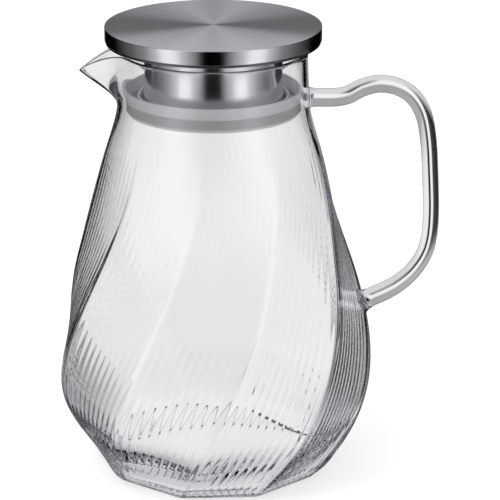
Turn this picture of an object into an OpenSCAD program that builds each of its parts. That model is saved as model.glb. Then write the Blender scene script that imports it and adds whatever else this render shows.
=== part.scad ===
// Glass pitcher with a lift-off steel lid.
// The glass has nine flat facets that twist as they climb from the foot and fade into a round neck.
// Origin: middle of the foot, on the table. +Z up, the handle towards +X, the pouring beak towards -X.
// Plan angles are counted from -Y, counter-clockwise from above, so +X is at 90 degrees.

/* [Glass] */
// Height of the rim above the table
rim_z = 219.5; // [214:0.5:230]
// Thickness of the wall
wall_t = 2.6; // [2.2:0.1:3]
// Thickness of the wall at the heel, measured level
heel_wall_t = 9; // [7:0.5:10]
// Height from which the wall has its plain thickness
heel_fade_z = 38; // [34:1:44]
// Thickness of the glass under the floor
floor_t = 3; // [2.6:0.1:4]
// Rise of the floor in the middle
floor_rise = 0.8; // [0.5:0.1:1.2]
// Rounding where the floor meets the wall
floor_round = 4; // [3:0.5:6]
// Rounding at the edge of the foot
foot_round = 0.8; // [0.4:0.1:1.4]

/* [Vessel outline, at the ridges] */
// Radius of the foot
foot_r = 56; // [53:0.5:60]
// Height of the heel
heel_z = 14; // [12:0.5:18]
// Radius at the heel
heel_r = 68; // [65:0.5:70]
// Height of the widest place
belly_z = 56; // [50:1:62]
// Radius at the widest place
belly_r = 81; // [78:0.5:85]
// Height of the shoulder
shoulder_z = 112; // [106:1:118]
// Radius at the shoulder
shoulder_r = 70.5; // [69:0.5:73]
// Height of the throat
throat_z = 166; // [160:1:170]
// Radius at the throat
throat_r = 55.5; // [54:0.5:58]
// Height at which the neck becomes upright
neck_z = 194; // [190:1:197]
// Radius of the bore at the rim
neck_bore_r = 44.5; // [42:0.5:46]
// Extra radius of the neck where it becomes upright
neck_flare = 0.9; // [0.5:0.1:1.5]
// Least height from one of these places to the next
least_rise = 12; // [8:1:14]

/* [Facets] */
// Number of facets round the glass
facets = 9; // [8:1:10]
// Plan angle of a ridge at the foot
foot_turn = 22.2; // [10:0.1:30]
// Plan angle of the same ridge at the widest place
belly_turn = 44.8; // [38:0.1:50]
// Height from which the twist slows down
twist_z = 140; // [130:1:150]
// Plan angle of the same ridge at that height
twist_turn = 71.4; // [65:0.1:74]
// Plan angle of the same ridge at the neck
neck_turn = 75; // [74:0.5:80]
// Height up to which the facets are flat
flat_z = 103; // [90:1:115]
// Height from which the glass is round
round_z = 205; // [190:1:210]

/* [Pouring beak] */
// Reach of the beak past the rim
beak_reach = 20; // [14:0.5:24]
// Drop of the beak's tip below the rim
beak_drop = 10; // [6:0.5:12]
// Half of the plan angle that the beak takes
beak_half_angle = 34; // [28:1:40]
// Height at which the beak starts to leave the neck
beak_z = 190; // [186:1:194]

/* [Handle] */
// Reach of the rod's middle line from the axis
handle_reach = 110; // [104:0.5:116]
// Drop of the upper joint below the rim
upper_joint_drop = 25; // [23:0.5:28]
// Height of the lower joint on the wall
lower_joint_z = 86.2; // [82:0.2:90]
// Radius of the rod at the upper arm
arm_r = 4.7; // [4.4:0.05:5]
// Radius of the rod at the grip
grip_r = 4.15; // [3.8:0.05:4.4]
// Radius of the rod at the end of the lower arm
lower_arm_r = 4.9; // [4.4:0.05:5.2]
// Slope of the lower arm where it meets its pad, in degrees
lower_tilt = 26; // [18:1:34]
// Radius of the upper pad
upper_pad_r = 5.4; // [5.2:0.1:6]
// Length of the upper pad
upper_pad_t = 4.8; // [4:0.1:6]
// Radius of the lower pad
lower_pad_r = 6.8; // [6:0.1:7.2]
// Length of the lower pad
lower_pad_t = 6.2; // [5:0.1:8]
// Depth to which the pads are melted into the wall
weld_depth = 0.8; // [0.6:0.1:1.2]

/* [Lid cap] */
// Radius of the cap
cap_r = 54; // [52:0.5:58]
// Height of the cap's rim
cap_h = 7.1; // [6.5:0.1:10]
// Thickness of the cap's sheet
cap_t = 0.8; // [0.6:0.1:1]
// Rounding of the cap's upper edge
cap_round = 0.5; // [0.3:0.1:0.6]
// Air between the glass rim and the underplate
lid_gap = 3.9; // [3:0.1:6]
// Thickness of the underplate
underplate_t = 1.3; // [0.8:0.1:1.6]
// Step from the cap's rim in to the underplate's edge
underplate_step = 0.55; // [0.4:0.05:0.6]
// Height of the underplate's upstand inside the cap
upstand_h = 4; // [3:0.5:5]

/* [Lid plug] */
// Radius of the sleeve at its lower end
sleeve_r = 36.3; // [34:0.1:37]
// How far the sleeve's waist is drawn in
sleeve_waist = 1.9; // [1:0.1:3]
// Extra radius of the sleeve's upper lip
sleeve_lip = 0.9; // [0.6:0.1:1.2]
// Height of the sleeve's upper lip
sleeve_lip_h = 0.8; // [0.6:0.1:1.2]
// Thickness of the sleeve's sheet
sleeve_t = 0.8; // [0.6:0.1:1]
// Depth of the plug from the rim down to the flange of its floor
plug_depth = 30; // [28:0.1:32]
// Thickness of the floor's flange and web
plug_floor_t = 1.5; // [1.3:0.1:2.2]
// Radius of the floor's flange
flange_r = 42; // [40.5:0.1:42.5]
// Height of the hub that centres the sleeve
hub_h = 4.5; // [3:0.5:6]
// Thickness of the hub's wall
hub_t = 2.2; // [1.6:0.1:3]

/* [Seal ring] */
// Gap between the seal's lip and the bore
seal_gap = 0.3; // [0.2:0.05:0.4]
// Gap between the seal and the plug that turns in it
seal_seat_gap = 0.25; // [0.2:0.05:0.3]
// Height of the seal
seal_h = 10.9; // [10:0.1:12]
// Height of the seal's web
seal_web_h = 3.9; // [3.2:0.1:4.1]
// Height of the seal's lower bead
seal_bead_h = 4.6; // [4.2:0.1:5.2]
// Step from the lip in to the lower bead
seal_bead_step = 0.8; // [0.6:0.1:1.2]
// Depth of the groove between bead and lip
seal_groove = 0.6; // [0.4:0.1:0.8]
// Thickness of the seal's lip and of its inner wall
seal_t = 1.5; // [1.2:0.1:1.8]
// Least width of the seal from its bore to its lip
seal_least_w = 6; // [5:0.5:7]
// Height of the seal's inner wall
seal_inner_h = 7.4; // [6.5:0.1:8]

/* [Tie] */
// Radius of the stud
stud_r = 2; // [1.5:0.1:2.5]
// Radius of the stud's welded foot
stud_foot_r = 7; // [5:0.5:9]
// Thickness of the stud's welded foot
stud_foot_t = 1; // [0.8:0.1:1.5]
// Gap round the stud in each hole
stud_gap = 0.2; // [0.1:0.05:0.3]
// Radius of the washer
washer_r = 5; // [4.5:0.1:6]
// Thickness of the washer
washer_t = 0.8; // [0.6:0.1:1]
// Width of the nut across its flats
nut_af = 7; // [6.5:0.1:8]
// Height of the nut's six-sided part
nut_h = 3.2; // [2.5:0.1:4]
// Depth of the nut's thread
nut_bore_h = 4.2; // [3.5:0.1:4.5]
// Height of the whole nut with its dome
nut_full_h = 5.6; // [5.2:0.1:6.5]

/* [Hidden] */
round_sides = 96;
pad_sides = 32;
rod_sides = 16;
cut_overrun = 1;

// Slopes of the outline, in radius per height, where it passes each named place.
foot_slope = 1.5;
heel_slope = 0.65;
shoulder_slope = -0.31;
throat_slope = -0.31;
neck_slope = -0.05;
// Slopes of the twist, as shares of the mean slope from the foot to the place where it slows down.
foot_twist_share = 1.88;
belly_twist_share = 1;
twist_share = 0.8;
mean_twist = (twist_turn - foot_turn) / twist_z;

// The bore takes the plug with its seal, so it widens where these need more room.
bore_r = max(neck_bore_r, sleeve_r + seal_seat_gap + seal_least_w + seal_gap, flange_r + seal_bead_step);
rim_r = bore_r + wall_t;

// The named places keep their order: each lies at least the least rise above the one below it.
function stacked(heights, i) =
    i == 0 ? heights[0] : max(heights[i], stacked(heights, i - 1) + least_rise);
places = [heel_z, belly_z, shoulder_z, throat_z, neck_z, max(rim_z, beak_z + least_rise)];
twist_places = [stacked(places, 1), twist_z, stacked(places, 4)];
top_z = stacked(places, 5);

outline = [
    [0, foot_r, foot_slope],
    [heel_z, heel_r, heel_slope],
    [stacked(places, 1), belly_r, 0],
    [stacked(places, 2), shoulder_r, shoulder_slope],
    [stacked(places, 3), throat_r, throat_slope],
    [stacked(places, 4), rim_r + neck_flare, neck_slope],
    [top_z, rim_r, 0]];
turns = [
    [0, foot_turn, foot_twist_share * mean_twist],
    [twist_places[0], belly_turn, belly_twist_share * mean_twist],
    [stacked(twist_places, 1), twist_turn, twist_share * mean_twist],
    [stacked(twist_places, 2), neck_turn, 0]];

facet_a = 360 / facets;
columns_a_facet = 8;
columns = facets * columns_a_facet;
column_a = facet_a / columns_a_facet;
beak_a = 270;
handle_a = 90;
beak_reach_power = 3;
beak_drop_power = 4.4;

// Rows of the glass: steps from the foot to the heel, to the beak and to the rim, and round the rim itself.
heel_rows = 4;
wall_rows = 22;
beak_rows = 8;
rim_rows = 3;
corner_rows = 3;
floor_rows = 3;
crest_z = top_z - wall_t / 2;

function ease(a, b, z) = let(t = max(0, min(1, (z - a) / (b - a)))) t * t * (3 - 2 * t);

// A smooth curve through knots of place, value and slope.
function curve(knots, z, i = 0) =
    i < len(knots) - 2 && z > knots[i + 1][0] ? curve(knots, z, i + 1)
    : let(a = knots[i], b = knots[i + 1], h = b[0] - a[0], t = max(0, min(1, (z - a[0]) / h)))
      (1 + 2 * t) * pow(1 - t, 2) * a[1] + t * pow(1 - t, 2) * h * a[2]
      + t * t * (3 - 2 * t) * b[1] + t * t * (t - 1) * h * b[2];

function turn_at(z) = curve(turns, z);
function around(a) = (a % 360 + 360) % 360;

// Radius at a height and an angle counted from a ridge: flat facets that fade into a circle.
function facet_r(z, from_ridge) =
    let(in_facet = around(from_ridge) % facet_a,
        flat = cos(facet_a / 2) / cos(facet_a / 2 - in_facet),
        roundness = ease(flat_z, round_z, z))
    curve(outline, z) * (roundness + (1 - roundness) * flat);

// How far into the beak a plan angle lies: 1 at its tip, 0 outside it.
function beak_share(a) = let(off = abs(around(a - beak_a + 180) - 180)) max(0, 1 - off / beak_half_angle);
function beak_push(z, a) =
    let(t = max(0, (z - beak_z) / (crest_z - beak_z)))
    beak_reach * pow(beak_share(a), beak_reach_power) * t * t * (2 - t);
function lip_drop(z, a) =
    let(t = max(0, (z - beak_z) / (crest_z - beak_z))) beak_drop * pow(beak_share(a), beak_drop_power) * t;

// The wall thins from the floor up to the fade height, which stays clear of the floor's rounded corner.
inner_foot_z = floor_t + floor_round;
fade_z = max(heel_fade_z, inner_foot_z + least_rise);
function thickness(z) = wall_t + (heel_wall_t - wall_t) * (1 - ease(floor_t, fade_z, z));

// A point of the glass: height before the lip drops, angle from a ridge, and how far in from the outer face.
function glass_point(z, from_ridge, inset, lift = 0) =
    let(a = turn_at(z) + from_ridge, r = facet_r(z, from_ridge) + beak_push(z, a) - inset)
    [r * sin(a), -r * cos(a), z + lift - lip_drop(z, a)];
function glass_row(z, inset, lift = 0) =
    [for (i = [0:columns - 1]) glass_point(z, i * column_a, inset, lift)];

function steps(from, to, count) = [for (i = [1:count]) from + (to - from) * i / count];
outer_heights = concat([foot_round], steps(foot_round, heel_z, heel_rows), steps(heel_z, beak_z, wall_rows),
                       steps(beak_z, crest_z, beak_rows));
inner_heights =
    [for (i = [len(outer_heights) - 1:-1:0]) if (outer_heights[i] > inner_foot_z) outer_heights[i]];
inner_foot_r = facet_r(inner_foot_z, 0) - thickness(inner_foot_z);

// The floor, from its rounded corner in to the middle, as rows of the inner wall drawn towards the axis.
function floor_row(share, z) =
    [for (i = [0:columns - 1])
        let(p = glass_point(inner_foot_z, i * column_a, thickness(inner_foot_z)))
        [p[0] * share, p[1] * share, z]];
floor_edge_share = (inner_foot_r - floor_round) / inner_foot_r;
function floor_corner(turn) =
    floor_row(floor_edge_share + (1 - floor_edge_share) * cos(turn), inner_foot_z - floor_round * sin(turn));
function floor_inside(share) =
    floor_row(floor_edge_share * share, floor_t + floor_rise * (1 - share * share));

glass_rows = concat(
    [[for (p = glass_row(foot_round, foot_round)) [p[0], p[1], 0]]],
    [for (z = outer_heights) glass_row(z, 0)],
    [for (t = steps(0, 180, rim_rows + 1))
        glass_row(crest_z, wall_t / 2 * (1 - cos(t)), wall_t / 2 * sin(t))],
    [for (z = inner_heights) if (z < crest_z) glass_row(z, thickness(z))],
    [glass_row(inner_foot_z, thickness(inner_foot_z))],
    [for (t = steps(0, 90, corner_rows)) floor_corner(t)],
    [for (i = [floor_rows - 1:-1:1]) floor_inside(i / floor_rows)]);

// Closes a stack of equal rows of points with a fan at each end.
module lofted(rows, first, last) {
    n = len(rows[0]);
    m = len(rows);
    points = concat([for (row = rows) each row], [first, last]);
    sides = [for (k = [0:m - 2]) for (i = [0:n - 1])
                let(a = k * n + i, b = k * n + (i + 1) % n) each [[a, a + n, b + n], [a, b + n, b]]];
    first_fan = [for (i = [0:n - 1]) [n * m, i, (i + 1) % n]];
    last_fan = [for (i = [0:n - 1]) [n * m + 1, (m - 1) * n + (i + 1) % n, (m - 1) * n + i]];
    polyhedron(points = points, faces = concat(sides, first_fan, last_fan), convexity = 8);
}

module glass_body() {
    color("lightcyan", 0.45) lofted(glass_rows, [0, 0, 0], [0, 0, floor_t + floor_rise]);
}

// The wall where the handle meets it: how far out it is, and which way it faces.
function wall_x(z) = facet_r(z, handle_a - turn_at(z));
probe_a = 1;
probe_z = wall_t;
function wall_yaw(z) =
    let(p = handle_a - turn_at(z))
    atan2(facet_r(z, p - probe_a) - facet_r(z, p + probe_a), wall_x(z) * 2 * probe_a * PI / 180);
function wall_pitch(z) = atan2(wall_x(z - probe_z) - wall_x(z + probe_z), 2 * probe_z);

upper_joint_z = top_z - upper_joint_drop;
upper_end = [wall_x(upper_joint_z) + upper_pad_t, upper_joint_z];
lower_end = [wall_x(lower_joint_z) + lower_pad_t * cos(lower_tilt),
             lower_joint_z + lower_pad_t * sin(lower_tilt)];

// The rod's middle line, as shares of the way from each end out to the grip
// and of the height between the ends.
upper_arm_shares = [[0, 1], [0.13, 1], [0.25, 1.012], [0.38, 1.048], [0.53, 1.067], [0.69, 1.051],
                    [0.825, 1.001], [0.918, 0.914], [0.964, 0.785], [0.988, 0.6], [1, 0.43]];
lower_arm_shares = [[0.972, 0.3], [0.88, 0.21], [0.69, 0.128], [0.45, 0.067], [0.22, 0.028], [0, 0]];
function rod_point(end, s) =
    [end[0] + s[0] * (handle_reach - end[0]), lower_end[1] + s[1] * (upper_end[1] - lower_end[1])];
rod_knots = concat([for (s = upper_arm_shares) rod_point(upper_end, s)],
                   [for (s = lower_arm_shares) rod_point(lower_end, s)]);
rings_a_span = 4;
rod_last = len(rod_knots) - 1;
thinning_share = 0.6;
thicker_share = 0.7;

function rod_slope(i) =
    i == 0 ? [norm(rod_knots[1] - rod_knots[0]), 0]
    : i == rod_last ? -norm(rod_knots[i] - rod_knots[i - 1]) * [cos(lower_tilt), sin(lower_tilt)]
    : (rod_knots[i + 1] - rod_knots[i - 1]) / 2;
function rod_at(i, t) =
    (1 + 2 * t) * pow(1 - t, 2) * rod_knots[i] + t * pow(1 - t, 2) * rod_slope(i)
    + t * t * (3 - 2 * t) * rod_knots[i + 1] + t * t * (t - 1) * rod_slope(i + 1);
function rod_along(i, t) =
    6 * t * (t - 1) * (rod_knots[i] - rod_knots[i + 1]) + (1 - t) * (1 - 3 * t) * rod_slope(i)
    + t * (3 * t - 2) * rod_slope(i + 1);
function rod_ring(i, t) =
    let(c = rod_at(i, t), d = rod_along(i, t) / norm(rod_along(i, t)),
        r = arm_r + (grip_r - arm_r) * ease(0, rod_last * thinning_share, i + t)
            + (lower_arm_r - grip_r) * ease(rod_last * thicker_share, rod_last, i + t))
    [for (k = [0:rod_sides - 1])
        let(a = 360 * k / rod_sides) [c[0] - r * cos(a) * d[1], r * sin(a), c[1] + r * cos(a) * d[0]]];
rod_rows = concat([for (i = [0:rod_last - 1]) for (k = [0:rings_a_span - 1]) rod_ring(i, k / rings_a_span)],
                  [rod_ring(rod_last - 1, 1)]);

module handle_rod() {
    color("lightcyan", 0.45)
        lofted(rod_rows, [upper_end[0], 0, upper_end[1]], [lower_end[0], 0, lower_end[1]]);
}

// A gather of glass that fuses the rod to the wall: a disc melted into the wall, drawn in to the rod's end.
pad_step_share = 1 / 3;
module weld_pad(z, pad_r, end, end_r, tilt) {
    neck_t = (end[0] - wall_x(z)) * pad_step_share;
    color("paleturquoise", 0.55) hull() {
        translate([wall_x(z), 0, z]) rotate([0, 0, wall_yaw(z)]) rotate([0, 90 - wall_pitch(z), 0])
            translate([0, 0, -weld_depth]) cylinder(r = pad_r, h = weld_depth + neck_t, $fn = pad_sides);
        translate([end[0], 0, end[1]]) rotate([0, 90 - tilt, 0]) translate([0, 0, -neck_t])
            cylinder(r = pad_r - neck_t / 2, h = neck_t / 2, $fn = pad_sides);
        translate([end[0], 0, end[1]]) rotate([0, 90 - tilt, 0]) translate([0, 0, -neck_t / 2])
            cylinder(r = end_r, h = neck_t / 2, $fn = pad_sides);
    }
}

module handle_upper_pad() {
    weld_pad(upper_joint_z, upper_pad_r, upper_end, arm_r, 0);
}

module handle_lower_pad() {
    weld_pad(lower_joint_z, lower_pad_r, lower_end, lower_arm_r, lower_tilt);
}

// Heights of the lid's pieces, from the glass rim upwards and downwards.
underplate_z = top_z + lid_gap;
cap_z = underplate_z + underplate_t;
cap_top_z = cap_z + cap_h;
flange_top_z = top_z - plug_depth;
flange_z = flange_top_z - plug_floor_t;
stud_hole_r = stud_r + stud_gap;
cap_bore_r = cap_r - cap_t;

corner_steps = 3;
function corner(centre, r, from, to) =
    [for (a = [0:corner_steps]) let(t = from + (to - from) * a / corner_steps) centre + r * [cos(t), sin(t)]];

module turned(points) {
    rotate_extrude($fn = round_sides) polygon(points);
}

module lid_cap() {
    color("silver") turned(concat(
        [[0, cap_top_z]],
        corner([cap_r - cap_round, cap_top_z - cap_round], cap_round, 90, 0),
        corner([cap_r - cap_round, cap_z + cap_round], cap_round, 0, -90),
        [[cap_bore_r, cap_z], [cap_bore_r, cap_top_z - cap_t], [0, cap_top_z - cap_t]]));
}

module lid_underplate() {
    upstand_r = cap_bore_r - underplate_t;
    color("gainsboro") turned([
        [stud_hole_r, underplate_z], [cap_r - underplate_step, underplate_z],
        [cap_r - underplate_step, cap_z], [cap_bore_r, cap_z], [cap_bore_r, cap_z + upstand_h],
        [upstand_r, cap_z + upstand_h], [upstand_r, cap_z], [stud_hole_r, cap_z]]);
}

// The sleeve's outer face: a drawn-in waist between its lower end and its upper lip.
sleeve_rows = 16;
waist_power = 0.8;
sleeve_top_z = underplate_z - sleeve_lip_h;
function sleeve_point(t, inset) =
    [sleeve_r - inset - sleeve_waist * pow(sin(180 * t), waist_power),
     flange_top_z + (sleeve_top_z - flange_top_z) * t];

module plug_sleeve() {
    color("silver") turned(concat(
        [for (i = [0:sleeve_rows]) sleeve_point(i / sleeve_rows, 0)],
        [[sleeve_r + sleeve_lip, sleeve_top_z], [sleeve_r + sleeve_lip, underplate_z],
         [sleeve_r - sleeve_t, underplate_z]],
        [for (i = [sleeve_rows:-1:0]) sleeve_point(i / sleeve_rows, sleeve_t)]));
}

module plug_floor() {
    hub_r = sleeve_r - sleeve_waist - sleeve_t;
    color("lightgray") turned([
        [stud_hole_r, flange_z], [flange_r, flange_z], [flange_r, flange_top_z], [hub_r, flange_top_z],
        [hub_r, flange_top_z + hub_h], [hub_r - hub_t, flange_top_z + hub_h], [hub_r - hub_t, flange_top_z],
        [stud_hole_r, flange_top_z]]);
}

// A cup-shaped ring: a web on the floor's flange, an inner wall round the sleeve
// and a lip that wipes the bore.
seal_z = flange_top_z + seal_seat_gap;
seal_lip_r = bore_r - seal_gap;
seal_bead_r = seal_lip_r - seal_bead_step;
seal_bore_r = sleeve_r + seal_seat_gap;

module seal_ring() {
    color("lightsteelblue", 0.8) turned([
        [seal_bore_r, seal_z], [seal_bead_r, seal_z], [seal_bead_r, seal_z + seal_bead_h],
        [seal_bead_r - seal_groove, seal_z + seal_bead_h + seal_groove / 2],
        [seal_bead_r, seal_z + seal_bead_h + seal_groove], [seal_lip_r, seal_z + seal_h - seal_t],
        [seal_lip_r, seal_z + seal_h], [seal_lip_r - seal_t, seal_z + seal_h],
        [seal_bead_r - seal_groove - seal_t, seal_z + seal_web_h],
        [seal_bore_r + seal_t, seal_z + seal_web_h], [seal_bore_r + seal_t, seal_z + seal_inner_h],
        [seal_bore_r, seal_z + seal_inner_h]]);
}

// The tie that clamps the lid: a stud welded under the cap, and a washer and dome nut under the floor.
washer_z = flange_z - washer_t;
nut_z = washer_z - nut_full_h;
nut_corner_r = nut_af / 2 / cos(30);
stud_top_z = cap_top_z - cap_t;
stud_end_z = washer_z - nut_bore_h + stud_gap;

module tie_stud() {
    color("dimgray") {
        translate([0, 0, stud_end_z])
            cylinder(r = stud_r, h = stud_top_z - stud_foot_t / 2 - stud_end_z, $fn = round_sides);
        translate([0, 0, stud_top_z - stud_foot_t])
            cylinder(r = stud_foot_r, h = stud_foot_t, $fn = round_sides);
    }
}

module tie_washer() {
    color("gray") turned([
        [stud_hole_r, washer_z], [washer_r, washer_z], [washer_r, flange_z], [stud_hole_r, flange_z]]);
}

module tie_nut() {
    dome_r = nut_af / 2;
    color("gray") difference() {
        union() {
            translate([0, 0, washer_z - nut_h]) cylinder(r = nut_corner_r, h = nut_h, $fn = 6);
            intersection() {
                translate([0, 0, nut_z + dome_r]) sphere(r = dome_r, $fn = round_sides);
                translate([0, 0, nut_z]) cylinder(r = nut_af, h = nut_full_h - nut_h / 2, $fn = round_sides);
            }
        }
        translate([0, 0, washer_z - nut_bore_h])
            cylinder(r = stud_r + stud_gap / 4, h = nut_bore_h + cut_overrun, $fn = round_sides);
    }
}

glass_body();
handle_rod();
handle_upper_pad();
handle_lower_pad();
lid_cap();
lid_underplate();
plug_sleeve();
plug_floor();
seal_ring();
tie_stud();
tie_washer();
tie_nut();
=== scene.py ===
"""Glass pitcher with a steel lid: looks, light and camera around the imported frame.

The frame's own boxes give every overall size. What they can't give, such as the outline between
the foot and the rim, repeats the named values of the part. Lengths are metres, and plan angles
are degrees from -Y, counter-clockwise.
"""

import math

import bpy
import numpy as np
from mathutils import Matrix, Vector


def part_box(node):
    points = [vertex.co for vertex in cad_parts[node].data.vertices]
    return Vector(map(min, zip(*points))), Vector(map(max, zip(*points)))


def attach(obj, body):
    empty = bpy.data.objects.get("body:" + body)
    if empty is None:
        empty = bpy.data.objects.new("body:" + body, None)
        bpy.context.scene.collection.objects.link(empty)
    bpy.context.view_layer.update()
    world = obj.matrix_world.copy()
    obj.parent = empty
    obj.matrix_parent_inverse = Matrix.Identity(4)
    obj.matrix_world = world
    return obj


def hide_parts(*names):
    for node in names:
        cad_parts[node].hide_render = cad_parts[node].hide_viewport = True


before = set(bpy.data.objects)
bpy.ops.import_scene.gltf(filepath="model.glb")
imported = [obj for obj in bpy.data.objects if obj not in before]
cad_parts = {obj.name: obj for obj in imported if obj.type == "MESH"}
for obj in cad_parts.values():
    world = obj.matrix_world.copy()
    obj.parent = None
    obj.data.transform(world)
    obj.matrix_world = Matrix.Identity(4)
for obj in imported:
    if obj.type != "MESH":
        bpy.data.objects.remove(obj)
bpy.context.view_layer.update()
MM = 0.001


# Sizes from the frame.

def box(node):
    low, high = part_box(node)
    return np.array(low), np.array(high)


cap_low, cap_high = box("lid_cap")
plate_low, plate_high = box("lid_underplate")
sleeve_low, sleeve_high = box("plug_sleeve")
seal_low, seal_high = box("seal_ring")

RIM_Z = box("glass_body")[1][2]
ROD_FAR_X = box("handle_rod")[1][0]
CAP_R = cap_high[0]
CAP_Z, CAP_TOP_Z = cap_low[2], cap_high[2]
PLATE_R = plate_high[0]
PLATE_Z, PLATE_TOP_Z = plate_low[2], plate_high[2]
SLEEVE_LIP_R = sleeve_high[0]
SLEEVE_Z, SLEEVE_TOP_Z = sleeve_low[2], sleeve_high[2]
SEAL_LIP_R = seal_high[0]
SEAL_Z, SEAL_TOP_Z = seal_low[2], seal_high[2]
SEAL_BEAD_H = 4.6 * MM


# Mesh tools.

ON_AXIS_R = 1e-9
STRAIGHT_A = math.radians(86)
EDGE_SHARE = 0.45


def ease(a, b, x):
    t = np.clip((x - a) / (b - a), 0, 1)
    return t * t * (3 - 2 * t)


def curve_through(knots, x):
    """A smooth curve through knots of place, value and slope."""
    x = np.asarray(x, float)
    out = np.zeros_like(x)
    for (x0, a, slope_a), (x1, b, slope_b) in zip(knots, knots[1:]):
        span = x1 - x0
        t = np.clip((x - x0) / span, 0, 1)
        value = ((1 + 2 * t) * (1 - t) ** 2 * a + t * (1 - t) ** 2 * span * slope_a
                 + t * t * (3 - 2 * t) * b + t * t * (t - 1) * span * slope_b)
        out = np.where((x >= x0) if x0 == knots[0][0] else (x > x0), value, out)
    return out


def signed_volume(points, faces):
    points = np.asarray(points, float)
    total = 0.0
    for size in (3, 4):
        corners = np.array([f for f in faces if len(f) == size], int)
        for k in range(2, size):
            if len(corners):
                a, b, c = points[corners[:, 0]], points[corners[:, k - 1]], points[corners[:, k]]
                total += float((a * np.cross(b, c)).sum()) / 6
    return total


def mesh_object(name, points, faces, body, material, replaces):
    """Makes a closed mesh, turned right side out, that rides on a body in place of the nodes."""
    if signed_volume(points, faces) < 0:
        faces = [f[::-1] for f in faces]
    mesh = bpy.data.meshes.new(name)
    mesh.from_pydata([tuple(p) for p in points], [], faces)
    mesh.validate()
    mesh.polygons.foreach_set("use_smooth", [True] * len(mesh.polygons))
    mesh.update()
    piece = bpy.data.objects.new(name, mesh)
    bpy.context.scene.collection.objects.link(piece)
    mesh.materials.append(material)
    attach(piece, body)
    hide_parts(*replaces)
    return piece


def stacked_rows(rows, first=None, last=None, closed=False):
    """Points and faces of a stack of equal rings.

    A point at an end closes it with a fan, and closed joins the last ring to the first.
    """
    rows = [np.asarray(r) for r in rows]
    count, sides = len(rows), len(rows[0])
    points = np.concatenate(rows)
    i = np.arange(sides)
    j = (i + 1) % sides
    faces = []
    for k in range(count if closed else count - 1):
        a, b = k * sides, ((k + 1) % count) * sides
        faces += np.stack([a + i, a + j, b + j, b + i], 1).tolist()
    extra = []
    if first is not None:
        faces += np.stack([np.full(sides, count * sides), j, i], 1).tolist()
        extra.append(first)
    if last is not None:
        tip = count * sides + len(extra)
        base = (count - 1) * sides
        faces += np.stack([np.full(sides, tip), base + i, base + j], 1).tolist()
        extra.append(last)
    if extra:
        points = np.concatenate([points, np.array(extra, float)])
    return points, faces


def rounded(profile, radius, steps):
    """A closed profile with each corner rounded by up to the radius."""
    out = []
    n = len(profile)
    for k in range(n):
        p = np.array(profile[k], float)
        a = np.array(profile[k - 1], float) - p
        b = np.array(profile[(k + 1) % n], float) - p
        la, lb = np.linalg.norm(a), np.linalg.norm(b)
        a, b = a / la, b / lb
        half = math.acos(max(-1, min(1, float(a @ b)))) / 2
        if half > STRAIGHT_A or p[0] < ON_AXIS_R:
            out.append(p)
            continue
        cut = min(radius / math.tan(half), EDGE_SHARE * la, EDGE_SHARE * lb)
        r = cut * math.tan(half)
        middle = p + (a + b) / np.linalg.norm(a + b) * r / math.sin(half)
        start, end = p + a * cut - middle, p + b * cut - middle
        turn = math.atan2(start[0] * end[1] - start[1] * end[0], float(start @ end))
        for s in np.linspace(0, 1, steps + 1):
            c, d = math.cos(turn * s), math.sin(turn * s)
            out.append(middle + np.array([start[0] * c - start[1] * d, start[0] * d + start[1] * c]))
    return out


def lathe(profile, sides):
    """Turns a closed profile of (radius, height) about Z. Points on the axis become poles."""
    angle = np.linspace(0, 2 * math.pi, sides, endpoint=False)

    def ring(r, z):
        return np.stack([r * np.cos(angle), r * np.sin(angle), np.full(sides, z)], 1)

    on_axis = [k for k, p in enumerate(profile) if p[0] < ON_AXIS_R]
    if on_axis:
        start = on_axis[-1]
        ordered = [profile[(start + k) % len(profile)] for k in range(len(profile))]
        rows = [ring(r, z) for r, z in ordered[1:-1]]
        return stacked_rows(rows, first=(0, 0, ordered[0][1]), last=(0, 0, ordered[-1][1]))
    return stacked_rows([ring(r, z) for r, z in profile], closed=True)


# Node tools.

def new_material(name):
    material = bpy.data.materials.new(name)
    material.use_nodes = True
    tree = material.node_tree
    tree.nodes.clear()
    return material, tree


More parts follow.
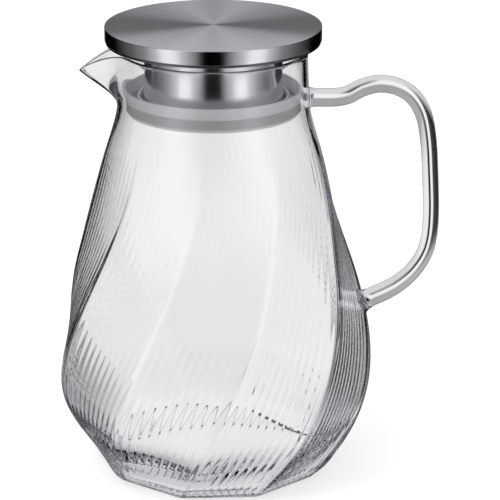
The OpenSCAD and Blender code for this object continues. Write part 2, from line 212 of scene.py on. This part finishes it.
class Nodes:
    """A short way to write a node tree: add(type, inputs, **settings) returns the node."""

    def __init__(self, tree):
        self.tree = tree

    def add(self, kind, inputs=None, **settings):
        node = self.tree.nodes.new(kind)
        for key, value in settings.items():
            setattr(node, key, value)
        for key, value in (inputs or {}).items():
            socket = node.inputs[key]
            if isinstance(value, bpy.types.NodeSocket):
                self.tree.links.new(value, socket)
            else:
                socket.default_value = value
        return node

    def math(self, operation, *values, clamp=False):
        node = self.tree.nodes.new("ShaderNodeMath")
        node.operation = operation
        node.use_clamp = clamp
        for k, value in enumerate(values):
            if isinstance(value, bpy.types.NodeSocket):
                self.tree.links.new(value, node.inputs[k])
            else:
                node.inputs[k].default_value = value
        return node.outputs[0]

    def plus(self, a, b):
        return self.math("ADD", a, b)

    def minus(self, a, b):
        return self.math("SUBTRACT", a, b)

    def times(self, a, b):
        return self.math("MULTIPLY", a, b)

    def rise(self, value, start, gain):
        """0 at the start and up to 1 beyond it. A negative gain rises below the start."""
        return self.math("MULTIPLY", self.minus(value, start), gain, clamp=True)

    def blend(self, a, b, share):
        """The first value where the share is 0, and the second where it is 1."""
        return self.plus(self.times(a, self.minus(1.0, share)), self.times(b, share))

    def noise(self, place, scale, detail):
        values = {"Vector": place, "Scale": scale, "Detail": detail}
        return self.add("ShaderNodeTexNoise", values).outputs["Fac"]

    def ramp(self, factor, stops, interpolation="EASE"):
        """A ramp of greys through stops of place and value."""
        node = self.tree.nodes.new("ShaderNodeValToRGB")
        node.color_ramp.interpolation = interpolation
        elements = node.color_ramp.elements
        while len(elements) > 1:
            elements.remove(elements[-1])
        elements[0].position = stops[0][0]
        elements[0].color = (stops[0][1],) * 3 + (1,)
        for place, grey in stops[1:]:
            element = elements.new(place)
            element.color = (grey,) * 3 + (1,)
        self.tree.links.new(factor, node.inputs[0])
        return node.outputs[0]

    def link(self, a, b):
        self.tree.links.new(a, b)


# Materials.

GLASS_TINT = (0.985, 0.99, 0.99, 1)
GLASS_INDEX = 1.49
GLASS_DEPTH_TINT = (0.62, 0.64, 0.66, 1)
GLASS_DENSITY = 12.0
WAVE_SCALE, WAVE_STRENGTH, WAVE_H = 38.0, 0.05, 0.6 * MM
FINE_BUMP_H = 0.1 * MM
FINE_RING_SHARE = 0.7
BROAD_RING_SHARE = 1 - FINE_RING_SHARE
BROAD_SCALE_SHARE = 0.08
DARK_RING_SHARE, LIGHT_RING_SHARE = 0.9, 1.08
ROUGHNESS_SPREAD = 0.1
CLOUD_SCALE, GRAIN_SCALE, GRAIN_STRENGTH = 60.0, 2600.0, 0.12
CLOUD_DARK_SHARES = (0.93, 0.94, 0.96)
CLOUD_LIGHT_SHARES = (1.04, 1.05, 1.06)
SCATTER_DEPTH = 2 * MM
PAINTED_SHADE_EDGE_GAIN = 2000.0


def glass_material():
    """Clear glass with a faint grey of its own, so that long ways through it darken."""
    material, tree = new_material("clear_glass")
    n = Nodes(tree)
    place = n.add("ShaderNodeTexCoord").outputs["Object"]
    waves = n.noise(place, WAVE_SCALE, 1.0)
    bump = n.add("ShaderNodeBump", {"Height": waves, "Strength": WAVE_STRENGTH, "Distance": WAVE_H})
    shader = n.add("ShaderNodeBsdfPrincipled", {
        "Base Color": GLASS_TINT, "Roughness": 0.0, "IOR": GLASS_INDEX,
        "Transmission Weight": 1.0, "Normal": bump.outputs[0]})
    volume = n.add("ShaderNodeVolumeAbsorption", {"Color": GLASS_DEPTH_TINT, "Density": GLASS_DENSITY})
    out = n.add("ShaderNodeOutputMaterial", {"Surface": shader.outputs[0]})
    n.link(volume.outputs[0], out.inputs["Volume"])
    return material


def steel_material(name, grey, roughness, anisotropy, ring_scale=9000.0, bump_strength=0.1):
    """Spun or turned steel: fine rings, by radius on a flat face and by height on an upright one."""
    material, tree = new_material(name)
    n = Nodes(tree)
    place = n.add("ShaderNodeSeparateXYZ", {"Vector": n.add("ShaderNodeTexCoord").outputs["Object"]})
    x, y, z = place.outputs
    radius = n.math("SQRT", n.plus(n.times(x, x), n.times(y, y)))
    along = n.plus(radius, z)

    def ring_noise(scale, **inputs):
        values = {"W": n.times(along, scale), "Scale": 1.0, **inputs}
        return n.add("ShaderNodeTexNoise", values, noise_dimensions="1D").outputs["Fac"]

    rings = ring_noise(ring_scale, Detail=3.0, Roughness=0.7)
    broad = ring_noise(ring_scale * BROAD_SCALE_SHARE, Detail=1.0)
    mixed = n.plus(n.times(rings, FINE_RING_SHARE), n.times(broad, BROAD_RING_SHARE))
    shade = n.ramp(mixed, [(0.25, grey * DARK_RING_SHARE), (0.75, grey * LIGHT_RING_SHARE)], "LINEAR")
    rough = n.plus(roughness - ROUGHNESS_SPREAD / 2, n.times(rings, ROUGHNESS_SPREAD))
    bump = n.add("ShaderNodeBump", {"Height": rings, "Strength": bump_strength, "Distance": FINE_BUMP_H})
    tangent = n.add("ShaderNodeTangent", direction_type="RADIAL", axis="Z")
    shader = n.add("ShaderNodeBsdfPrincipled", {
        "Base Color": shade, "Metallic": 1.0, "Roughness": rough, "Anisotropic": anisotropy,
        "Anisotropic Rotation": 0.25, "Tangent": tangent.outputs[0], "Normal": bump.outputs[0]})
    n.add("ShaderNodeOutputMaterial", {"Surface": shader.outputs[0]})
    return material


def rubber_material(name, grey, painted_shade_share, roughness, subsurface):
    """Silicone: satin, slightly translucent, faintly cloudy, and darker in its lower bead with painted
    shade.
    """
    material, tree = new_material(name)
    n = Nodes(tree)
    place = n.add("ShaderNodeTexCoord").outputs["Object"]
    cloud = n.noise(place, CLOUD_SCALE, 3.0)
    shade = n.add("ShaderNodeValToRGB", {"Fac": cloud})
    stops = ((0.3, CLOUD_DARK_SHARES), (0.7, CLOUD_LIGHT_SHARES))
    for element, (position, shares) in zip(shade.color_ramp.elements, stops):
        element.position = position
        element.color = tuple(grey * share for share in shares) + (1,)
    grain = n.noise(place, GRAIN_SCALE, 2.0)
    bump = n.add("ShaderNodeBump", {"Height": grain, "Strength": GRAIN_STRENGTH, "Distance": FINE_BUMP_H})
    height = n.add("ShaderNodeSeparateXYZ", {"Vector": place}).outputs[2]
    # Painted shade: below the bead's top edge the colour drops to the given share, darkening the lower
    # bead.
    share = n.blend(painted_shade_share, 1.0, n.rise(height, SEAL_Z + SEAL_BEAD_H, PAINTED_SHADE_EDGE_GAIN))
    lower_bead_painted_shade = n.add("ShaderNodeMixRGB", {"Fac": share, "Color1": (0, 0, 0, 1), "Color2": shade.outputs[0]})
    shader = n.add("ShaderNodeBsdfPrincipled", {
        "Base Color": lower_bead_painted_shade.outputs[0], "Roughness": roughness, "Subsurface Weight": subsurface,
        "Subsurface Radius": (1, 1, 1), "Subsurface Scale": SCATTER_DEPTH,
        "Normal": bump.outputs[0]})
    n.add("ShaderNodeOutputMaterial", {"Surface": shader.outputs[0]})
    return material


glass = glass_material()
brushed_steel = steel_material("brushed_steel", grey=0.72, roughness=0.28, anisotropy=1.0,
                               bump_strength=0.15)
rim_steel = steel_material("rim_steel", grey=0.66, roughness=0.16, anisotropy=0.9)
turned_steel = steel_material("turned_steel", grey=0.8, roughness=0.13, anisotropy=0.9)
plain_steel = steel_material("plain_steel", grey=0.5, roughness=0.42, anisotropy=0.3, ring_scale=6000.0)
# The underplate's near-black grey is painted shade: the shadow under the cap.
plate_painted_shade = steel_material("plate_painted_shade", grey=0.12, roughness=0.36, anisotropy=0.3,
                             ring_scale=6000.0)
matt_steel = steel_material("matt_steel", grey=0.85, roughness=0.5, anisotropy=0.0, ring_scale=6000.0)
# The silicone's darker lower bead is painted shade; the plug's floor gets none.
silicone = rubber_material("silicone", 0.85, painted_shade_share=0.66, roughness=0.38, subsurface=0.6)
floor_plastic = rubber_material("floor_plastic", 0.92, painted_shade_share=1.0, roughness=0.4, subsurface=0.5)


# The glass vessel.

FACETS = 9
RIBS_A_FACET = 11
COLUMNS_A_RIB = 6
FACET_A = 360 / FACETS
COLUMNS = FACETS * RIBS_A_FACET * COLUMNS_A_RIB
WALL_T, HEEL_WALL_T = 2.6 * MM, 9 * MM
FLOOR_T, FLOOR_RISE, FLOOR_ROUND, FOOT_ROUND = 3 * MM, 0.8 * MM, 4 * MM, 0.8 * MM
HEEL_FADE_Z = 38 * MM
HEEL_Z, BELLY_Z, SHOULDER_Z, THROAT_Z, NECK_Z = 14 * MM, 56 * MM, 112 * MM, 166 * MM, 194 * MM
BORE_R = SEAL_LIP_R + 0.3 * MM
RIM_R = BORE_R + WALL_T
OUTLINE = [(0, 56 * MM, 1.5), (HEEL_Z, 68 * MM, 0.65), (BELLY_Z, 81 * MM, 0),
           (SHOULDER_Z, 70.5 * MM, -0.31), (THROAT_Z, 55.5 * MM, -0.31),
           (NECK_Z, RIM_R + 0.9 * MM, -0.05), (RIM_Z, RIM_R, 0)]
FOOT_TURN, BELLY_TURN, TWIST_TURN, NECK_TURN = 22.2, 44.8, 71.4, 75
TWIST_Z = 140 * MM
MEAN_TWIST = (TWIST_TURN - FOOT_TURN) / TWIST_Z
TURNS = [(0, FOOT_TURN, 1.88 * MEAN_TWIST), (BELLY_Z, BELLY_TURN, MEAN_TWIST),
         (TWIST_Z, TWIST_TURN, 0.8 * MEAN_TWIST), (NECK_Z, NECK_TURN, 0)]
FLAT_Z, ROUND_Z = 103 * MM, 205 * MM
RIDGE_ROUND_A = 1.4
BEAK_A, BEAK_HALF_A, BEAK_Z = 270, 34, 190 * MM
BEAK_REACH, BEAK_DROP = 20 * MM, 10 * MM
BEAK_REACH_POWER, BEAK_DROP_POWER = 3, 4.4
CREST_Z = RIM_Z - WALL_T / 2
RIB_DEPTH = 0.32 * MM
RIB_SOFTER, RIB_FADE = (56 * MM, 96 * MM), (150 * MM, 182 * MM)
RIB_SOFTER_SHARE = 0.68
FOOT_ROWS, WALL_ROWS, CREST_ROWS = 16, 110, 22
INNER_CREST_ROWS, INNER_WALL_ROWS = 16, 60
FOOT_RING_SHARES, FLOOR_RING_SHARES = (0.5, 0.97), (0.8, 0.6, 0.4, 0.2)

column_a = np.arange(COLUMNS) * 360 / COLUMNS


def facet_radius(z, from_ridge):
    """The outer radius at a height, flat between the ridges low down and round in the neck."""
    in_facet = np.mod(from_ridge, FACET_A)
    off_ridge = np.hypot(np.minimum(in_facet, FACET_A - in_facet), RIDGE_ROUND_A)
    flat = math.cos(math.radians(FACET_A / 2)) / np.cos(np.radians(FACET_A / 2 - off_ridge))
    roundness = ease(FLAT_Z, ROUND_Z, z)
    return curve_through(OUTLINE, z) * (roundness + (1 - roundness) * flat)


def beak_share(a):
    off = np.abs(np.mod(a - BEAK_A + 180, 360) - 180)
    return np.maximum(0, 1 - off / BEAK_HALF_A)


def glass_row(z, inset, lift=0.0, ribbed=0.0):
    """One ring of the vessel's points, drawn out and down at the beak."""
    a = curve_through(TURNS, z) + column_a
    t = max(0.0, (z - BEAK_Z) / (CREST_Z - BEAK_Z))
    push = BEAK_REACH * beak_share(a) ** BEAK_REACH_POWER * t * t * (2 - t)
    drop = BEAK_DROP * beak_share(a) ** BEAK_DROP_POWER * t
    rib = RIB_DEPTH / 2 * np.cos(np.radians(column_a * 360 / FACET_A * RIBS_A_FACET))
    rib *= ribbed * (1 - RIB_SOFTER_SHARE * ease(*RIB_SOFTER, z)) * (1 - ease(*RIB_FADE, z))
    r = facet_radius(z, column_a) + push - inset + rib
    a = np.radians(a)
    return np.stack([r * np.sin(a), -r * np.cos(a), z + lift - drop], 1)


def thickness(z):
    return WALL_T + (HEEL_WALL_T - WALL_T) * (1 - ease(FLOOR_T, HEEL_FADE_Z, z))


def glass_vessel():
    inner_foot_z = FLOOR_T + FLOOR_ROUND
    outer = np.concatenate([np.linspace(FOOT_ROUND, HEEL_Z, FOOT_ROWS),
                            np.linspace(HEEL_Z, BEAK_Z, WALL_ROWS)[1:],
                            np.linspace(BEAK_Z, CREST_Z, CREST_ROWS)[1:]])
    inner = np.concatenate([np.linspace(CREST_Z, BEAK_Z, INNER_CREST_ROWS)[1:],
                            np.linspace(BEAK_Z, inner_foot_z, INNER_WALL_ROWS)[1:]])
    foot = glass_row(FOOT_ROUND, FOOT_ROUND)
    foot[:, 2] = 0
    rows = []
    for share in FOOT_RING_SHARES:
        ring = foot.copy()
        ring[:, :2] *= share
        rows.append(ring)
    rows.append(foot)
    for t in np.radians([22.5, 45, 67.5]):
        ring = glass_row(FOOT_ROUND, FOOT_ROUND * (1 - math.sin(t)))
        ring[:, 2] = FOOT_ROUND * (1 - math.cos(t))
        rows.append(ring)
    rows += [glass_row(z, 0, ribbed=float(ease(FOOT_ROUND, 3 * FOOT_ROUND, z))) for z in outer]
    for t in np.radians(np.linspace(0, 180, 11)[1:-1]):
        rows.append(glass_row(CREST_Z, WALL_T / 2 * (1 - math.cos(t)), WALL_T / 2 * math.sin(t)))
    rows.append(glass_row(CREST_Z, WALL_T))
    rows += [glass_row(z, thickness(z)) for z in inner]
    edge = glass_row(inner_foot_z, thickness(inner_foot_z))
    edge_r = np.linalg.norm(edge[:, :2], axis=1).max()
    flat_share = (edge_r - FLOOR_ROUND) / edge_r
    for t in np.radians(np.linspace(0, 90, 8)[1:]):
        ring = edge.copy()
        ring[:, :2] *= flat_share + (1 - flat_share) * math.cos(t)
        ring[:, 2] = inner_foot_z - FLOOR_ROUND * math.sin(t)
        rows.append(ring)
    for share in FLOOR_RING_SHARES:
        ring = edge.copy()
        ring[:, :2] *= flat_share * share
        ring[:, 2] = FLOOR_T + FLOOR_RISE * (1 - share * share)
        rows.append(ring)
    points, faces = stacked_rows(rows, first=(0, 0, 0), last=(0, 0, FLOOR_T + FLOOR_RISE))
    mesh_object("glass_vessel", points, faces, "jug", glass, ("glass_body",))


glass_vessel()


# The handle.

ARM_R, GRIP_R, LOWER_ARM_R = 4.7 * MM, 4.15 * MM, 4.9 * MM
HANDLE_REACH = ROD_FAR_X - GRIP_R
UPPER_Z, LOWER_Z = RIM_Z - 25 * MM, 86.2 * MM
LOWER_TILT = math.radians(26)
UPPER_PAD_R, UPPER_PAD_T = 5.4 * MM, 4.8 * MM
LOWER_PAD_R, LOWER_PAD_T = 6.8 * MM, 6.2 * MM
WELD_DEPTH = 0.8 * MM
GRIP_SHARE, LOWER_ARM_SHARE = 0.6, 0.7
PAD_POWER = 2.2
BAR_SIDES, PAD_ROWS, KNOT_ROWS = 48, 14, 16
UPPER_ARM_SHARES = [(0, 1), (0.13, 1), (0.25, 1.012), (0.38, 1.048), (0.53, 1.067), (0.69, 1.051),
                    (0.825, 1.001), (0.918, 0.914), (0.964, 0.785), (0.988, 0.6), (1, 0.43)]
LOWER_ARM_SHARES = [(0.972, 0.3), (0.88, 0.21), (0.69, 0.128), (0.45, 0.067), (0.22, 0.028), (0, 0)]


def wall_x(z):
    return float(facet_radius(z, 90 - curve_through(TURNS, z)))


def handle_bar():
    """The bent rod with its two gathers, swept along a curve in the plane of X and Z."""
    lower_way = np.array([math.cos(LOWER_TILT), math.sin(LOWER_TILT)])
    upper = np.array([wall_x(UPPER_Z) + UPPER_PAD_T, UPPER_Z])
    lower = np.array([wall_x(LOWER_Z), LOWER_Z]) + LOWER_PAD_T * lower_way

    def place(end, x_share, z_share):
        x = end[0] + x_share * (HANDLE_REACH - end[0])
        return x, lower[1] + z_share * (upper[1] - lower[1])

    knots = np.array([place(upper, *shares) for shares in UPPER_ARM_SHARES]
                     + [place(lower, *shares) for shares in LOWER_ARM_SHARES])
    slopes = np.zeros_like(knots)
    slopes[1:-1] = (knots[2:] - knots[:-2]) / 2
    slopes[0] = (np.linalg.norm(knots[1] - knots[0]), 0)
    slopes[-1] = -np.linalg.norm(knots[-1] - knots[-2]) * lower_way
    last = len(knots) - 1
    centres, radii = [], []
    upper_root = np.array([wall_x(UPPER_Z) - WELD_DEPTH, UPPER_Z])
    lower_root = np.array([wall_x(LOWER_Z) - WELD_DEPTH, LOWER_Z - WELD_DEPTH * math.sin(LOWER_TILT)])
    for s in np.linspace(0, 1, PAD_ROWS)[:-1]:
        centres.append(upper_root + (upper - upper_root) * s)
        radii.append(ARM_R + (UPPER_PAD_R - ARM_R) * (1 - s) ** PAD_POWER)
    for i in range(last):
        for t in np.linspace(0, 1, KNOT_ROWS, endpoint=False):
            centres.append((1 + 2 * t) * (1 - t) ** 2 * knots[i] + t * (1 - t) ** 2 * slopes[i]
                           + t * t * (3 - 2 * t) * knots[i + 1] + t * t * (t - 1) * slopes[i + 1])
            radii.append(ARM_R + (GRIP_R - ARM_R) * float(ease(0, last * GRIP_SHARE, i + t))
                         + (LOWER_ARM_R - GRIP_R) * float(ease(last * LOWER_ARM_SHARE, last, i + t)))
    for s in np.linspace(1, 0, PAD_ROWS + 1):
        centres.append(lower_root + (lower - lower_root) * s)
        radii.append(LOWER_ARM_R + (LOWER_PAD_R - LOWER_ARM_R) * (1 - s) ** PAD_POWER)
    centres, radii = np.array(centres), np.array(radii)
    along = np.gradient(centres, axis=0)
    along /= np.linalg.norm(along, axis=1)[:, None]
    turn = np.linspace(0, 2 * math.pi, BAR_SIDES, endpoint=False)
    rows = []
    for c, r, d in zip(centres, radii, along):
        across = r * np.cos(turn)
        rows.append(np.stack([c[0] - across * d[1], r * np.sin(turn), c[1] + across * d[0]], 1))
    ends = [(centres[k][0], 0, centres[k][1]) for k in (0, -1)]
    points, faces = stacked_rows(rows, first=ends[0], last=ends[1])
    mesh_object("glass_handle", points, faces, "jug", glass,
                ("handle_rod", "handle_upper_pad", "handle_lower_pad"))


handle_bar()


# The lid and the seal.

CAP_T, CAP_ROUND, EDGE_ROUND = 0.8 * MM, 0.4 * MM, 0.12 * MM
BORE_CAP_R = CAP_R - CAP_T
STUD_HOLE_R = 2.2 * MM
LIP_H, LIP, WAIST, SHEET_T = 0.8 * MM, 0.9 * MM, 1.9 * MM, 0.8 * MM
WAIST_POWER = 0.8
SLEEVE_R = SLEEVE_LIP_R - LIP
SEAL_GAP = 0.25 * MM
SEAL_LIP, SEAL_GROOVE, SEAL_T, SEAL_ROUND = 0.8 * MM, 0.6 * MM, 1.5 * MM, 0.5 * MM
SEAL_WEB_H, SEAL_INNER_H = 3.9 * MM, 7.4 * MM
CAP_SIDES, PLUG_SIDES, SLEEVE_ROWS = 360, 256, 41
UPRIGHT, DOWN = 0.7, -0.7


def second_material(piece, material, chosen):
    """Gives the chosen faces of a piece another material."""
    piece.data.materials.append(material)
    for face in piece.data.polygons:
        if chosen(face):
            face.material_index = 1


def lid_cap():
    top = [(0, CAP_TOP_Z), (CAP_R, CAP_TOP_Z), (CAP_R, CAP_Z), (BORE_CAP_R, CAP_Z),
           (BORE_CAP_R, CAP_TOP_Z - CAP_T), (0, CAP_TOP_Z - CAP_T)]
    points, faces = lathe(rounded(top[::-1], CAP_ROUND, 6), CAP_SIDES)
    cap = mesh_object("lid_cap_spun", points, faces, "lid", brushed_steel,
                      ("lid_cap",))

    def on_rim(face):
        outside = math.hypot(face.center.x, face.center.y) > BORE_CAP_R + CAP_T / 2
        return abs(face.normal.z) < UPRIGHT and outside

    second_material(cap, rim_steel, on_rim)


def lid_underplate():
    t = CAP_Z - PLATE_Z
    plate = [(STUD_HOLE_R, PLATE_Z), (PLATE_R, PLATE_Z), (PLATE_R, CAP_Z), (BORE_CAP_R, CAP_Z),
             (BORE_CAP_R, PLATE_TOP_Z), (BORE_CAP_R - t, PLATE_TOP_Z), (BORE_CAP_R - t, CAP_Z),
             (STUD_HOLE_R, CAP_Z)]
    points, faces = lathe(rounded(plate, EDGE_ROUND, 3), CAP_SIDES)
    under = mesh_object("lid_underplate_pressed", points, faces, "lid", plate_painted_shade,
                        ("lid_underplate",))
    # The sides keep the painted shade of the shadow under the cap, and the underside is plain matt steel.
    second_material(under, matt_steel, lambda face: face.normal.z < DOWN)


def plug_sleeve():
    height = SLEEVE_TOP_Z - LIP_H - SLEEVE_Z
    shares = np.linspace(0, 1, SLEEVE_ROWS)

    def waisted(r, s):
        return r - WAIST * math.sin(math.pi * s) ** WAIST_POWER, SLEEVE_Z + height * s

    outer = [waisted(SLEEVE_R, s) for s in shares[:-1]]
    outer += [(SLEEVE_R, SLEEVE_Z + height), (SLEEVE_LIP_R, SLEEVE_Z + height),
              (SLEEVE_LIP_R, SLEEVE_TOP_Z), (SLEEVE_R - SHEET_T, SLEEVE_TOP_Z)]
    inner = [waisted(SLEEVE_R - SHEET_T, s) for s in shares[::-1][1:]]
    points, faces = lathe(rounded(outer + inner, EDGE_ROUND, 3), PLUG_SIDES)
    mesh_object("plug_sleeve_turned", points, faces, "lid", turned_steel,
                ("plug_sleeve",))


def seal_cup():
    bore_r, bead_r = SLEEVE_R + SEAL_GAP, SEAL_LIP_R - SEAL_LIP
    bead_z, web_z, inner_z = SEAL_Z + SEAL_BEAD_H, SEAL_Z + SEAL_WEB_H, SEAL_Z + SEAL_INNER_H
    ring = [(bore_r, SEAL_Z), (bead_r, SEAL_Z), (bead_r, bead_z),
            (bead_r - SEAL_GROOVE, bead_z + SEAL_GROOVE / 2), (bead_r, bead_z + SEAL_GROOVE),
            (SEAL_LIP_R, SEAL_TOP_Z - SEAL_T), (SEAL_LIP_R, SEAL_TOP_Z),
            (SEAL_LIP_R - SEAL_T, SEAL_TOP_Z), (bead_r - SEAL_GROOVE - SEAL_T, web_z),
            (bore_r + SEAL_T, web_z), (bore_r + SEAL_T, inner_z), (bore_r, inner_z)]
    points, faces = lathe(rounded(ring, SEAL_ROUND, 5), PLUG_SIDES)
    mesh_object("seal_cup", points, faces, "seal", silicone, ("seal_ring",))


lid_cap()
lid_underplate()
plug_sleeve()
seal_cup()


def dress(node, material):
    """Gives a node that shows as it is in the frame one of the materials."""
    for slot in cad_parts[node].material_slots:
        slot.material = material


dress("plug_floor", floor_plastic)
for node in ("tie_stud", "tie_washer", "tie_nut"):
    dress(node, plain_steel)


# Floor, light and camera.

FLOOR_HALF = 4.0
FLOOR_GRAIN_SCALE = 90.0
FLOOR_GREYS = [(0.3, 0.86), (0.7, 0.9)]
FLOOR_GLOW = 0.42


def floor_plane():
    """A pale floor that glows a little towards the camera, and keeps the object's shadow."""
    h = FLOOR_HALF
    mesh = bpy.data.meshes.new("floor")
    mesh.from_pydata([(-h, -h, 0), (h, -h, 0), (h, h, 0), (-h, h, 0)], [], [(0, 1, 2, 3)])
    plane = bpy.data.objects.new("floor", mesh)
    bpy.context.scene.collection.objects.link(plane)
    material, tree = new_material("floor_white")
    n = Nodes(tree)
    place = n.add("ShaderNodeTexCoord").outputs["Object"]
    grain = n.add("ShaderNodeTexNoise", {"Vector": place, "Scale": FLOOR_GRAIN_SCALE}).outputs["Fac"]
    diffuse = n.add("ShaderNodeBsdfDiffuse", {"Color": n.ramp(grain, FLOOR_GREYS, "LINEAR")})
    to_camera = n.add("ShaderNodeLightPath").outputs["Is Camera Ray"]
    strength = n.times(to_camera, FLOOR_GLOW)
    glow = n.add("ShaderNodeEmission", {"Color": (1, 1, 1, 1), "Strength": strength})
    both = n.add("ShaderNodeAddShader")
    n.link(diffuse.outputs[0], both.inputs[0])
    n.link(glow.outputs[0], both.inputs[1])
    n.add("ShaderNodeOutputMaterial", {"Surface": both.outputs[0]})
    mesh.materials.append(material)
    plane.visible_glossy = False
    plane.visible_transmission = False


floor_plane()

# The surroundings: stops of place and grey. STEEL_RING and FAR_LIGHT go by share of the half turn
# from the camera's side to straight behind the object, CEILING by how steeply the way climbs,
# SCREEN by share of the full turn, and GAPS by share of one gap's width.
STEEL_RING = [(0.0, 0.0), (0.065, 0.0), (0.1, 0.3), (0.16, 0.62), (0.235, 1.25), (0.29, 1.25),
              (0.36, 0.62), (0.44, 0.28), (0.55, 0.13), (0.64, 0.04), (0.7, 0.0), (0.88, 0.0),
              (0.93, 0.1), (1.0, 0.14)]
FAR_LIGHT = [(0.9, 0.0), (0.94, 0.65)]
CEILING = [(0.0, 0.14), (0.3, 0.175), (0.6, 0.72), (1.0, 0.72)]
CEILING_THROUGH = 0.75
SCREEN = [(0.0, 0.92), (0.45, 0.92), (0.458, 0.5), (0.466, 0.0), (0.482, 0.0), (0.492, 1.0),
          (0.51, 1.0), (0.527, 0.0), (0.74, 0.0), (0.78, 0.8), (1.0, 0.62)]
ROOM_WALL = 0.4
GAP_SHARE = 0.125
GAPS = [(0.0, 0.94), (0.78, 0.94), (0.89, 0.3), (1.0, 0.3)]
TABLE = 0.74
DULL_LIGHT = 0.75
STEEP_DARK_SHARE = 0.9
FRONT_SHARE = 0.11
STEEL_TINT = (0.985, 0.97, 1.03, 1)
# Where each part of the room begins and how fast it comes in, by the way's climb or by azimuth.
STEEP_RISE, TABLE_RISE = (-0.75, -6.0), (-0.4, -5.0)
HORIZON_RISE, WALL_RISE = (-0.02, 10.0), (-0.28, 8.0)
BEHIND_RISE = (0.55, 8.0)


def studio_world():
    """White where the camera looks past the object, and for glass and steel a room of soft screens.

    What a ray meets is told apart by how often it was refracted or mirrored on its way.
    """
    world = bpy.data.worlds.new("studio")
    world.use_nodes = True
    bpy.context.scene.world = world
    world.cycles.sampling_method = "NONE"
    tree = world.node_tree
    tree.nodes.clear()
    n = Nodes(tree)
    path = n.add("ShaderNodeLightPath").outputs
    way = n.add("ShaderNodeTexCoord").outputs["Generated"]
    x, y, z = n.add("ShaderNodeSeparateXYZ", {"Vector": way}).outputs
    through = n.math("GREATER_THAN", path["Transmission Depth"], 0.5)
    few = n.math("LESS_THAN", path["Transmission Depth"], 2.5)
    crossed = n.math("GREATER_THAN", path["Glossy Depth"], 0.5)
    scattered = n.math("GREATER_THAN", path["Diffuse Depth"], 0.5)
    any_gloss = n.math("MAXIMUM", path["Is Glossy Ray"], path["Is Transmission Ray"])
    not_crossed = n.minus(1.0, crossed)

    # From the camera's side, -Y: 0 towards the camera and 1 straight behind the object, on both sides.
    azimuth = n.math("ARCTAN2", n.math("ABSOLUTE", x), n.times(y, -1.0))
    azimuth = n.math("DIVIDE", azimuth, math.pi)
    # The lower edges of the lid mirror the dark side of the table.
    steep = n.times(n.rise(z, *STEEP_RISE), n.minus(1.0, through))
    mirrored = n.times(n.ramp(azimuth, STEEL_RING), n.minus(1.0, n.times(steep, STEEP_DARK_SHARE)))
    mirrored = n.plus(mirrored, n.times(n.ramp(azimuth, FAR_LIGHT), through))
    # Behind the object and above the table's edge the room is dim, and it brightens upwards.
    ceiling = n.blend(n.ramp(z, CEILING), CEILING_THROUGH, through)
    risen = n.times(n.rise(z, *HORIZON_RISE), n.rise(azimuth, *BEHIND_RISE))
    glossy = n.blend(mirrored, ceiling, risen)

    # What a solid glass bar bends in: a black screen behind on the left, a narrow dark edge behind on
    # the right and a grey wall above the table.
    sideways = n.math("DIVIDE", n.math("ARCTAN2", n.times(x, -1.0), y), 2 * math.pi)
    screen = n.ramp(n.plus(sideways, 0.5), SCREEN)
    solid = n.blend(screen, ROOM_WALL, n.rise(z, *WALL_RISE))
    # What a hollow wall bends in: narrow dark gaps between white screens, all the way round.
    gap = n.math("PINGPONG", n.math("DIVIDE", n.math("ARCTAN2", x, y), math.pi), GAP_SHARE)
    hollow = n.ramp(n.times(gap, 1 / GAP_SHARE), GAPS)
    seen = n.blend(n.blend(hollow, solid, few), glossy, crossed)

    # Steeply below lies the white table. Bare steel doesn't mirror it, nor does a face in the glass
    # that mirrors the camera's side.
    front = n.times(n.math("LESS_THAN", azimuth, FRONT_SHARE), crossed)
    table = n.times(n.rise(z, *TABLE_RISE), n.minus(1.0, front))
    table = n.times(table, n.math("MAXIMUM", through, not_crossed))
    seen = n.blend(seen, TABLE, table)
    # Light that a dull surface gathers through the glass is plain white.
    seen = n.math("MAXIMUM", seen, scattered)
    plain = n.blend(DULL_LIGHT, 1.0, path["Is Camera Ray"])
    strength = n.blend(plain, seen, any_gloss)
    # The room that steel mirrors is a touch violet.
    tint = n.add("ShaderNodeMixRGB", {"Fac": n.times(crossed, any_gloss), "Color1": (1, 1, 1, 1),
                                      "Color2": STEEL_TINT})
    back = n.add("ShaderNodeBackground", {"Color": tint.outputs[0], "Strength": strength})
    n.add("ShaderNodeOutputWorld", {"Surface": back.outputs[0]})


studio_world()


LAMP_AT = Vector((-0.9, -0.7, 1.4))
LAMP_TO = Vector((0, 0, 0.1))
CAMERA_AT = Vector((0.0182, -1.2819, 0.5483))
CAMERA_TO = Vector((0.0182, 0.0, 0.1139))


def placed(name, data, at, to):
    """An object for a lamp or camera that looks from one place to another."""
    holder = bpy.data.objects.new(name, data)
    bpy.context.scene.collection.objects.link(holder)
    holder.location = at
    holder.rotation_euler = (to - at).to_track_quat("-Z", "Y").to_euler()
    return holder


lamp = bpy.data.lights.new("soft_left", "AREA")
lamp.shape = "SQUARE"
lamp.size = 1.0
lamp.energy = 6.0
lamp_holder = placed("soft_left", lamp, LAMP_AT, LAMP_TO)
lamp_holder.visible_glossy = False
lamp_holder.visible_transmission = False

camera = bpy.data.cameras.new("camera")
camera.lens = 191.2
camera.sensor_width = 36.0
camera.clip_start = 0.05

scene = bpy.context.scene
scene.camera = placed("camera", camera, CAMERA_AT, CAMERA_TO)
scene.view_settings.view_transform = "Standard"
scene.cycles.max_bounces = 40
scene.cycles.transmission_bounces = 40
scene.cycles.glossy_bounces = 14
scene.cycles.transparent_max_bounces = 16
